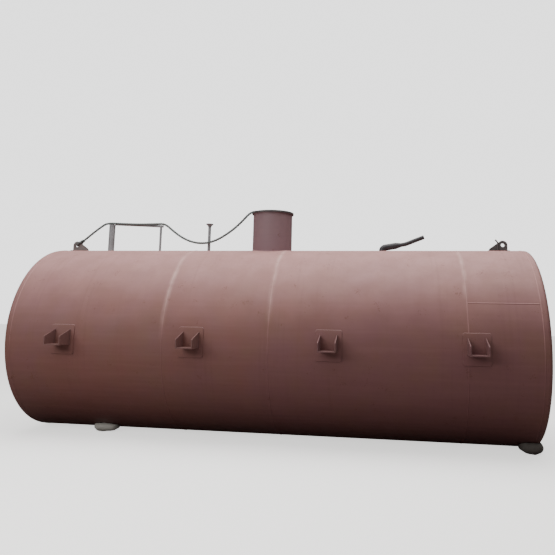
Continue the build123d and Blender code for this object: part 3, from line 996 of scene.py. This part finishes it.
@dataclass
class RopeLine:
    """The rope from the left lug over the fill pipe and rail to the cover's handle."""

    rope: LaidRope
    length: float = 3.064
    order: int = 3
    resolution: int = 60
    spacing: float = 0.006
    route: tuple = (
        (-3.040, 0.000, 2.663),
        (-2.750, 0.000, 2.902),
        (-2.640, -0.008, 2.927),
        (-2.462, -0.020, 2.916),
        (-2.190, -0.018, 2.905),
        (-1.990, -0.016, 2.907),
        (-1.850, 0.012, 2.914),
        (-1.790, 0.019, 2.9135),
        (-1.730, 0.020, 2.886),
        (-1.650, 0.015, 2.819),
        (-1.520, 0.002, 2.725),
        (-1.380, -0.012, 2.655),
        (-1.230, -0.032, 2.617),
        (-1.070, -0.045, 2.619),
        (-0.925, -0.036, 2.671),
        (-0.790, -0.022, 2.758),
        (-0.680, -0.012, 2.845),
        (-0.575, -0.005, 2.947),
        (-0.482, 0.000, 3.055),
        (-0.395, 0.000, 3.090),
        (-0.300, 0.000, 3.082),
    )

    def path(self) -> np.ndarray:
        """Points of the rope's smooth middle line, evenly spaced.

        Returns:
            The points, from the lug to the handle.
        """
        data = bpy.data.curves.new("rope_route", "CURVE")
        data.dimensions = "3D"
        spline = data.splines.new("NURBS")
        spline.points.add(len(self.route) - 1)
        for point, place in zip(spline.points, self.route):
            point.co = (*place, 1.0)
        spline.order_u = self.order
        spline.use_endpoint_u = True
        spline.resolution_u = self.resolution
        line = link_object("rope_route", data)
        mesh = final_mesh(line)
        points = np.array([vertex.co for vertex in mesh.vertices])
        bpy.data.objects.remove(line)
        bpy.data.meshes.remove(mesh)
        run = np.concatenate(([0.0], np.cumsum(np.linalg.norm(np.diff(points, axis=0), axis=1))))
        even = np.linspace(0.0, run[-1], int(run[-1] / self.spacing))
        return np.column_stack([np.interp(even, run, column) for column in points.T])

    def build(self, finishes: Finishes, knots: Piece) -> Piece:
        """Args:
            finishes: the tank's finishes.
            knots: the piece that holds both knots; not used.

        Returns:
            The rope.
        """
        path = self.path()
        piece = rope_piece("laid_rope", [self.rope.tubes(path)], finishes.rope)
        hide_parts("rope")
        seat_piece(piece)
        return piece


@dataclass
class Seizing:
    """A rope ring round a bar, its root bound with twine."""

    rope: LaidRope
    twine_diameter: float = 0.008
    twine_pitch: float = 0.0084
    twine_lay: float = 0.032
    twine_sides: int = 6
    twine_yarn_turns: float = 90.0
    twine_samples: int = 20
    ring_samples: int = 72
    root_samples: int = 12

    def tie(self, centre: Vector, toward: Vector, grip: float, end: Vector) -> list[Swept]:
        """Ring, root and binding of one knot.

        Args:
            centre: the ring's middle.
            toward: from the middle to the root.
            grip: radius inside the ring.
            end: where the rope runs on from the root.

        Returns:
            Corners, faces and UV of each of the three.
        """
        radius = grip + self.rope.diameter / 2
        ring = []
        for turn in np.linspace(0.0, FULL_TURN, self.ring_samples, endpoint=False):
            outward = toward * (radius * math.cos(turn))
            ring.append(centre + outward + DEPTH * (radius * math.sin(turn)))
        start = centre + toward * radius
        root = [start.lerp(end, share) for share in np.linspace(0.0, 1.0, self.root_samples)]
        return [
            self.rope.tubes(np.array(ring), closed=True),
            self.rope.tubes(np.array(root)),
            self._binding(start, end),
        ]

    def _binding(self, start: Vector, end: Vector) -> Swept:
        """Twine wound round the root from one end to the other.

        Args:
            start: where the winding starts.
            end: where it ends.

        Returns:
            Corners, faces and UV.
        """
        axis = (end - start).normalized()
        side = axis.cross(DEPTH).normalized()
        other = axis.cross(side)
        length = (end - start).length
        turns = length / self.twine_pitch
        radius = (self.rope.diameter + self.twine_diameter) / 2
        path = []
        for share in np.linspace(0.0, 1.0, int(turns * self.twine_samples) + 1):
            angle = FULL_TURN * turns * share
            outward = side * (radius * math.cos(angle)) + other * (radius * math.sin(angle))
            path.append(start + axis * (length * share) + outward)
        twine = LaidRope(
            diameter=self.twine_diameter, lay=self.twine_lay, sides=self.twine_sides,
            yarn_turns=self.twine_yarn_turns,
        )
        return twine.tubes(np.array(path))


@dataclass
class RopeKnots:
    """The two tied ends: round the left lug's eye and round the foot of the cover's handle."""

    line: RopeLine
    eye: Point = (-3.141, 0.0, 2.588)
    lug_reach: float = 0.045
    lug_grip: float = 0.0235
    cover_seat: Point = (-0.206, 0.0, 3.0553)
    handle_grip: float = 0.0083

    def build(self, finishes: Finishes) -> Piece:
        """Make both knots as one piece.

        Args:
            finishes: the tank's finishes.

        Returns:
            The piece.
        """
        seizing = Seizing(self.line.rope)
        first, onward = Vector(self.line.route[0]), Vector(self.line.route[1])
        last = Vector(self.line.route[-1])
        toward = (onward - first).normalized()
        centre = Vector(self.eye) + toward * self.lug_reach
        foot = Vector(self.cover_seat) + Vector((0.0, 0.0, self.line.rope.diameter / 2))
        parts = seizing.tie(centre, toward, self.lug_grip, first)
        parts += seizing.tie(foot, Vector((-1.0, 0.0, 0.0)), self.handle_grip, last)
        piece = rope_piece("rope_end_knots", parts, finishes.rope)
        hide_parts("rope_knots")
        return seat_piece(piece)


class WeldScales:
    """Geometry Nodes tree that lays overlapping scales of weld metal along a run."""

    NUMBERS = {"Pitch": 0.008, "Half Width": 0.005, "Scale Length": 0.0075, "Unevenness": 0.08}
    SCALE_SHAPE = {"Segments": 8, "Rings": 4, "Radius": 1.0}

    def __init__(self) -> None:
        """Build the tree once."""
        self.tree = bpy.data.node_groups.new("weld_scales", "GeometryNodeTree")
        face = self.tree.interface
        face.new_socket(name="Run", in_out="INPUT", socket_type="NodeSocketGeometry")
        for name, value in self.NUMBERS.items():
            socket = face.new_socket(name=name, in_out="INPUT", socket_type="NodeSocketFloat")
            socket.default_value = value
        face.new_socket(name="Seed", in_out="INPUT", socket_type="NodeSocketInt")
        face.new_socket(name="Finish", in_out="INPUT", socket_type="NodeSocketMaterial")
        face.new_socket(name="Scales", in_out="OUTPUT", socket_type="NodeSocketGeometry")
        self.names = {item.name: item.identifier for item in face.items_tree if item.in_out == "INPUT"}
        self._fill(Graph(self.tree))

    def _fill(self, graph: Graph) -> None:
        """Add the tree's nodes.

        Args:
            graph: the tree's graph.
        """
        entry = graph.add("NodeGroupInput").outputs
        curve = graph.add("GeometryNodeMeshToCurve", {"Mesh": entry["Run"]}).outputs["Curve"]
        spaced = {"Curve": curve, "Length": entry["Pitch"]}
        points = graph.add("GeometryNodeResampleCurve", spaced, mode="LENGTH")
        scale = graph.add("GeometryNodeMeshUVSphere", self.SCALE_SHAPE)
        wide = entry["Half Width"]
        size = graph.add("ShaderNodeCombineXYZ", {"X": wide, "Y": wide, "Z": entry["Scale Length"]})
        tangent = graph.add("GeometryNodeInputTangent").outputs["Tangent"]
        align = graph.add("FunctionNodeAlignRotationToVector", {"Vector": tangent}, axis="Z")
        uneven = graph.add("FunctionNodeRandomValue", data_type="FLOAT")
        inputs = by_identifier(uneven.inputs)
        graph.feed(inputs["Min_001"], graph.minus(1.0, entry["Unevenness"]))
        graph.feed(inputs["Max_001"], graph.plus(1.0, entry["Unevenness"]))
        graph.feed(inputs["Seed"], entry["Seed"])
        factor = by_identifier(uneven.outputs)["Value_001"]
        feeds = {0: size.outputs[0], "Scale": factor}
        sized = graph.add("ShaderNodeVectorMath", feeds, operation="SCALE")
        laid = graph.add("GeometryNodeInstanceOnPoints", {
            "Points": points.outputs["Curve"], "Instance": scale.outputs["Mesh"],
            "Rotation": align.outputs["Rotation"], "Scale": sized.outputs[0],
        })
        real = graph.add("GeometryNodeRealizeInstances", {"Geometry": laid.outputs["Instances"]})
        feeds = {"Geometry": real.outputs["Geometry"], "Material": entry["Finish"]}
        painted = graph.add("GeometryNodeSetMaterial", feeds)
        graph.add("NodeGroupOutput", {"Scales": painted.outputs["Geometry"]})

    def lay(
        self, name: str, runs: list[list[Point]], finish: Finish, seed: int, half_width: float,
        slot: Slot = Slot.WELD,
    ) -> Piece:
        """Lay scales along some runs as one plain mesh.

        Args:
            name: the piece's name.
            runs: points along each run.
            finish: the weld's finish.
            seed: fixes the unevenness.
            half_width: radius of the scales across the run.
            slot: the record's slot; not used.

        Returns:
            The piece.
        """
        points, edges = [], []
        for run in runs:
            base = len(points)
            points.extend(run)
            edges.extend((base + number, base + number + 1) for number in range(len(run) - 1))
        mesh = bpy.data.meshes.new(name + "_runs")
        mesh.from_pydata(points, edges, [])
        guide = link_object(name + "_runs", mesh)
        modifier = guide.modifiers.new("scales", "NODES")
        modifier.node_group = self.tree
        modifier[self.names["Half Width"]] = half_width
        modifier[self.names["Seed"]] = seed
        modifier[self.names["Finish"]] = finish
        solid = final_mesh(guide)
        guide.modifiers.remove(modifier)
        bpy.data.objects.remove(guide)
        bpy.data.meshes.remove(mesh)
        solid.name = name
        solid.shade_smooth()
        return seat_piece(link_object(name, solid))


def on_shell(along: float, angle: float, radius: float) -> Point:
    """Point round the tank's axis, with the angle in degrees from the front face upwards."""
    turn = math.radians(angle)
    return (along, -radius * math.cos(turn), AXIS_HEIGHT + radius * math.sin(turn))


def on_flank(along: float, height: float, side: int, radius: float = SHELL_RADIUS) -> Point:
    """Point on the tank's front or back, with the height taken from its axis."""
    return (along, side * math.sqrt(radius ** 2 - height ** 2), AXIS_HEIGHT + height)


def on_top(along: float, across: float) -> Point:
    """Point on top of the shell."""
    return (along, across, AXIS_HEIGHT + math.sqrt(SHELL_RADIUS ** 2 - across ** 2))


@dataclass
class TankWelds:
    """Scales on the beads of the shell: round it and along each course."""

    end_seam: float = 3.247
    girth: tuple = (-1.215, 0.112, 2.432)
    course_angles: tuple = (152.0, 206.0, 148.0, 24.5)
    course_seed: int = 7
    sunk: float = 0.0048
    half_width: float = 0.0072
    bead_half: float = 0.007
    circle_steps: int = 360

    def build(self, scales: WeldScales, finishes: Finishes) -> None:
        """Lay every bead.

        Args:
            scales: the weld scale tree.
            finishes: the tank's finishes.
        """
        stations = (-self.end_seam, *self.girth, self.end_seam)
        radius = SHELL_RADIUS - self.sunk
        for number, station in enumerate(stations, 1):
            ring = self._ring(station, radius)
            scales.lay("ring_weld_scales_%d" % number, [ring], finishes.weld, number, self.half_width)
        runs = []
        for start, end, angle in zip(stations, stations[1:], self.course_angles):
            ends = (start + self.bead_half, end - self.bead_half)
            runs.append([on_shell(along, angle, radius) for along in ends])
        scales.lay("course_weld_scales", runs, finishes.weld, self.course_seed, self.half_width)

    def _ring(self, station: float, radius: float) -> list[Point]:
        """Run round the tank, with the manhole neck's width left out.

        Args:
            station: its place along the tank.
            radius: its distance from the axis.

        Returns:
            The run, open where the neck stands in its way.
        """
        off = abs(station - NECK_X)
        gap = 0.0
        if off < NECK_RADIUS:
            gap = math.degrees(math.asin(math.sqrt(NECK_RADIUS ** 2 - off ** 2) / SHELL_RADIUS))
        angles = np.linspace(90.0 + gap, 450.0 - gap, self.circle_steps)
        return [on_shell(station, angle, radius) for angle in angles]


@dataclass
class FittingWelds:
    """Fillet welds round the brackets' pads and plates, the neck, the pipes and the lugs.

    A pipe is its place along and across the tank, and its radius.
    """

    brackets: tuple = (-2.520, -0.840, 0.840, 2.520)
    pad_half: float = 0.155
    pad_top: float = 0.175
    pad_bottom: float = -0.185
    pad_corner: float = 0.025
    pad_thickness: float = 0.010
    bracket_half: float = 0.105
    shelf_underside: float = -0.070
    cheek_top: float = 0.120
    lugs: tuple = (-3.083, 2.998)
    lug_length_half: float = 0.120
    lug_half: float = 0.010
    lug_pad_length_half: float = 0.140
    lug_pad_half: float = 0.065
    lug_pad_corner: float = 0.020
    pipes: tuple = (
        (-2.595, 0.0, 0.04445), (-1.830, 0.020, 0.01685), (-1.070, 0.0, 0.0212), (1.440, 0.0, 0.04445)
    )
    flange_level: float = 3.031
    half_width: float = 0.0055
    neck_half_width: float = 0.007
    pipe_half_width: float = 0.0045
    corner_steps: int = 6
    cheek_steps: int = 8
    circle_steps: int = 73

    def build(self, scales: WeldScales, finishes: Finishes) -> None:
        """Lay every fillet.

        Args:
            scales: the weld scale tree.
            finishes: the tank's finishes.
        """
        outline = self._rounded(self.pad_half, self.pad_bottom, self.pad_top, self.pad_corner)
        pads, plates = [], []
        for station in self.brackets:
            for side in SIDES:
                pads.append([on_flank(station + x, height, side) for x, height in outline])
                plates.extend(self._plates(station, side))
        neck = self._circle(NECK_X, 0.0, NECK_RADIUS)
        neck_runs = [[on_top(*spot) for spot in neck], [(*spot, self.flange_level) for spot in neck]]
        pipes = [[on_top(*spot) for spot in self._circle(*pipe)] for pipe in self.pipes]
        outline = self._rounded(
            self.lug_pad_length_half, -self.lug_pad_half, self.lug_pad_half, self.lug_pad_corner
        )
        lugs = [[on_top(middle + x, y) for x, y in outline] for middle in self.lugs]
        level = AXIS_HEIGHT + SHELL_RADIUS + self.pad_thickness
        for middle in self.lugs:
            ends = (middle - self.lug_length_half, middle + self.lug_length_half)
            lugs.extend([(x, side * self.lug_half, level) for x in ends] for side in SIDES)
        wide = self.half_width
        scales.lay("bracket_pad_weld_scales", pads, finishes.fillet, 11, wide, Slot.PLATE)
        scales.lay("bracket_plate_weld_scales", plates, finishes.bracket, 12, wide, Slot.PLATE)
        scales.lay("neck_weld_scales", neck_runs, finishes.neck, 13, self.neck_half_width, Slot.PLATE)
        scales.lay("pipe_weld_scales", pipes, finishes.paint, 14, self.pipe_half_width, Slot.PLATE)
        scales.lay("lug_weld_scales", lugs, finishes.fitting, 15, wide, Slot.FITTING)

    def _rounded(self, half_x: float, low: float, high: float, corner: float) -> list[Pair]:
        """Outline of a plate with round corners.

        Args:
            half_x: half its width.
            low: its lower edge.
            high: its upper edge.
            corner: the corners' radius.

        Returns:
            Points round it, the first one repeated at the end.
        """
        centres = (
            (half_x - corner, high - corner, 0), (corner - half_x, high - corner, 90),
            (corner - half_x, low + corner, 180), (half_x - corner, low + corner, 270),
        )
        outline = []
        for x, y, first in centres:
            for step in range(self.corner_steps + 1):
                turn = math.radians(first + 90 * step / self.corner_steps)
                outline.append((x + corner * math.cos(turn), y + corner * math.sin(turn)))
        return outline + outline[:1]

    def _circle(self, x: float, y: float, radius: float) -> list[Pair]:
        """Points round an upright pipe, the first one repeated at the end."""
        turns = np.linspace(0.0, FULL_TURN, self.circle_steps)
        return [(x + radius * math.cos(turn), y + radius * math.sin(turn)) for turn in turns]

    def _plates(self, station: float, side: int) -> list[list[Point]]:
        """Runs where a bracket's cheeks and shelf meet its pad.

        Args:
            station: the bracket's place along the tank.
            side: -1 on the front, 1 on the back.

        Returns:
            The runs.
        """
        face = SHELL_RADIUS + self.pad_thickness
        ends = (station - self.bracket_half, station + self.bracket_half)
        heights = np.linspace(self.shelf_underside, self.cheek_top, self.cheek_steps)
        runs = [[on_flank(x, height, side, face) for height in heights] for x in ends]
        return runs + [[on_flank(x, self.shelf_underside, side, face) for x in ends]]


@dataclass
class ChockStones:
    """A pair of stones wedged under the tank, one on each side.

    The bed is how far the stones' middle is above the ground, as a share of their half height.
    The fractal is the lumps' roughness, the scale between their layers and how many there are.
    """

    name: str
    node: str
    slot: Slot
    grow: Point = (1.16, 1.12, 1.40)
    shift: float = 0.0
    bed: float = 0.9
    squareness: float = 2.3
    lump_size: float = 0.15
    lump_depth: float = 0.024
    fractal: tuple = (0.9, 2.1, 5)
    clearance: float = 0.004
    levels: int = 5
    seed: float = 0.0

    def build(self, finish: Finish) -> Piece:
        """Make both stones as one piece.

        Args:
            finish: the stone's finish.

        Returns:
            The piece.
        """
        low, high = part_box(self.node)
        inner = min(abs(vertex.co.y) for vertex in frame["nodes"][self.node].data.vertices)
        size = ((high.x - low.x) / 2, (high.y - inner) / 2, high.z / 2)
        half = Vector([part * grown for part, grown in zip(size, self.grow)])
        blank = bmesh.new()
        bmesh.ops.create_icosphere(blank, subdivisions=self.levels, radius=1.0)
        blank.verts.index_update()
        points, faces = [], []
        for side in SIDES:
            middle = Vector((
                (low.x + high.x) / 2 + self.shift, side * (high.y + inner) / 2, half.z * self.bed
            ))
            base = len(points)
            points.extend(self._shape(corner.co, half, middle, side) for corner in blank.verts)
            faces.extend(tuple(base + corner.index for corner in face.verts) for face in blank.faces)
        blank.free()
        piece = link_mesh(self.name, points, faces, finish)
        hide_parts(self.node)
        return seat_piece(piece)

    def _shape(self, ray: Vector, half: Vector, middle: Vector, side: int) -> Vector:
        """Place one corner of a stone.

        Args:
            ray: its direction on the blank.
            half: the stone's half sizes.
            middle: the stone's middle.
            side: -1 on the front, 1 on the back.

        Returns:
            The corner's place, out of the shell and its dished end.
        """
        unit = ray / sum(abs(part) ** self.squareness for part in ray) ** (1 / self.squareness)
        point = Vector((unit.x * half.x, unit.y * half.y, unit.z * half.z))
        spot = Vector((point.x, point.y * side, point.z)) / self.lump_size
        lump = noise.fractal(spot + Vector((self.seed, self.seed, self.seed)), *self.fractal)
        point += middle - ray * (self.lump_depth * (1.0 + lump) / 2)
        point.z = max(point.z, 0.0)
        rise = CROWN_RADIUS ** 2 - (abs(point.x) - CROWN_CENTRE) ** 2
        up = point.z - AXIS_HEIGHT
        distance = math.hypot(point.y, up)
        limit = min(SHELL_RADIUS, math.sqrt(max(rise, 0.0))) + self.clearance
        if rise > 0 and distance < limit:
            point.y *= limit / distance
            point.z = max(0.0, AXIS_HEIGHT + up * limit / distance)
        return point


def dress(finishes: Finishes) -> None:
    """Give every CAD node its finish by the record's slot.

    Args:
        finishes: the tank's finishes.
    """
    by_slot = {
        Slot.PLATE: finishes.paint, Slot.WELD: finishes.weld, Slot.FITTING: finishes.fitting,
        Slot.GREY_PIPE: finishes.grey_pipe, Slot.BLACK_PIPE: finishes.black_pipe,
        Slot.ROPE: finishes.rope, Slot.PALE_STONE: finishes.pale_stone,
        Slot.DARK_STONE: finishes.dark_stone,
    }
    by_node = {
        "manhole_neck": finishes.neck, "left_lifting_lug": finishes.lug,
        "left_end": finishes.end_paint, "right_end": finishes.end_paint,
    }
    plates = [node for node in frame["nodes"] if node.endswith(("_shelf", "_gussets"))]
    by_node.update(dict.fromkeys(plates, finishes.bracket))
    by_node["lifting_lug_pads"] = finishes.paint
    for part in frame["record"]["subparts"]:
        slot = Slot(part["material_slot"])
        node = frame["nodes"][part["node"]]
        node.data.materials.clear()
        node.data.materials.append(by_node.get(part["node"], by_slot[slot]))


def main() -> None:
    """Build the tank's looks in order."""
    logging.basicConfig(level=logging.INFO, format="%(message)s")
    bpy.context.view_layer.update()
    PhotoCamera().build()
    finishes = Finishes()
    line = RopeLine(LaidRope())
    knots = RopeKnots(line).build(finishes)
    line.build(finishes, knots)
    Studio().build()
    dress(finishes)
    scales = WeldScales()
    TankWelds().build(scales, finishes)
    FittingWelds().build(scales, finishes)
    pale = ChockStones("pale_chock_stones", "left_chocks", Slot.PALE_STONE)
    pale.build(finishes.pale_stone)
    dark = ChockStones(
        "dark_chock_stones", "right_chocks", Slot.DARK_STONE, grow=(0.88, 1.0, 1.05), shift=-0.04, seed=4.0
    )
    dark.build(finishes.dark_stone)


if __name__ == "__main__":
    main()
